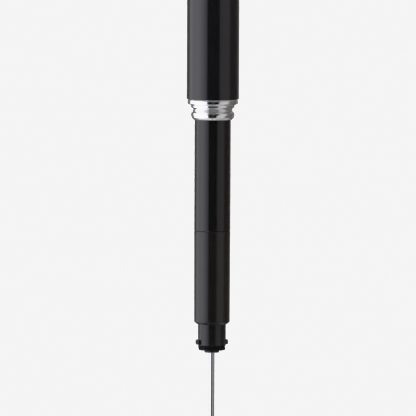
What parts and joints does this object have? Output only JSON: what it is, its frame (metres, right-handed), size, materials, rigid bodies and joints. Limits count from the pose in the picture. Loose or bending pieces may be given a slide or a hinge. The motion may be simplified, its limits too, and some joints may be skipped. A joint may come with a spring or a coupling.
{
  "type": "needle air-pump wine opener",
  "caption": "Slim black wine opener: pump handle with a stepped chrome collar sliding on a barrel, an ejector sleeve with a lugged nose, and a hollow needle for the cork.",
  "frame": {"origin": "on the tool's axis at the hub's lower face, which rests on the cork's top face when the needle is in", "axes": "+Z along the axis from the cork to the handle's end; +X to the right of the usual view, in which the left nose lug leans towards the viewer"},
  "size_m": [0.021, 0.021, 0.2485],
  "materials": {
    "handle_black": "glossy moulded black",
    "sleeve_black": "glossy moulded black",
    "barrel_black": "black anodised, polished",
    "chrome_plate": "mirror",
    "needle_steel": "drawn and polished",
    "plain_steel": "turned",
    "black_steel": "black oxide",
    "bare_aluminium": "turned, satin",
    "white_acetal": "machined, satin",
    "black_acetal": "machined, satin",
    "seal_rubber": "moulded O-ring rubber",
    "pad_rubber": "matte moulded"
  },
  "bodies": {
    "barrel_body": {"barrel": "barrel_black", "barrel_gland": "white_acetal", "gland_bumper": "seal_rubber", "valve_housing": "bare_aluminium", "housing_ring": "seal_rubber", "valve_seat": "bare_aluminium", "valve_spring": "plain_steel", "guide_tube": "bare_aluminium", "stop_ring": "plain_steel", "hub_gasket": "seal_rubber", "needle_hub": "black_steel", "needle": "needle_steel"},
    "valve_body": {"valve_poppet": "black_acetal", "poppet_seal": "seal_rubber"},
    "rod_body": {"piston_rod": "bare_aluminium", "piston": "white_acetal", "piston_screw": "plain_steel"},
    "floating_ring": {"piston_ring": "seal_rubber"},
    "handle_body": {"handle_shell": "handle_black", "end_cap": "handle_black", "cap_disc": "chrome_plate", "rod_screw": "plain_steel", "chrome_collar": "chrome_plate", "collar_bush": "black_acetal"},
    "ejector_carriage": {"sleeve_bush": "white_acetal", "drag_ring": "seal_rubber"},
    "ejector_body": {"ejector_sleeve": "sleeve_black", "nose": "sleeve_black", "nose_pad": "pad_rubber"}
  },
  "joints": [
    {"name": "pump_stroke", "type": "slide", "parent": "barrel_body", "child": "rod_body", "axis": [0, 0, 1], "range_m": [-0.042, 0]},
    {"name": "handle_spin", "type": "hinge", "parent": "rod_body", "child": "handle_body", "pos_m": [0, 0, 0.094], "axis": [0, 0, 1], "continuous": true},
    {"name": "ring_float", "type": "slide", "parent": "rod_body", "child": "floating_ring", "axis": [0, 0, 1], "range_m": [-0.0004, 0.0004]},
    {"name": "valve_lift", "type": "slide", "parent": "barrel_body", "child": "valve_body", "axis": [0, 0, 1], "range_m": [-0.001, 0], "stiffness_N_per_m": 60, "deforming": ["valve_spring"]},
    {"name": "ejector_slide", "type": "slide", "parent": "barrel_body", "child": "ejector_carriage", "axis": [0, 0, 1], "range_m": [-0.0325, 0]},
    {"name": "ejector_spin", "type": "hinge", "parent": "ejector_carriage", "child": "ejector_body", "pos_m": [0, 0, 0.01145], "axis": [0, 0, 1], "continuous": true}
  ]
}
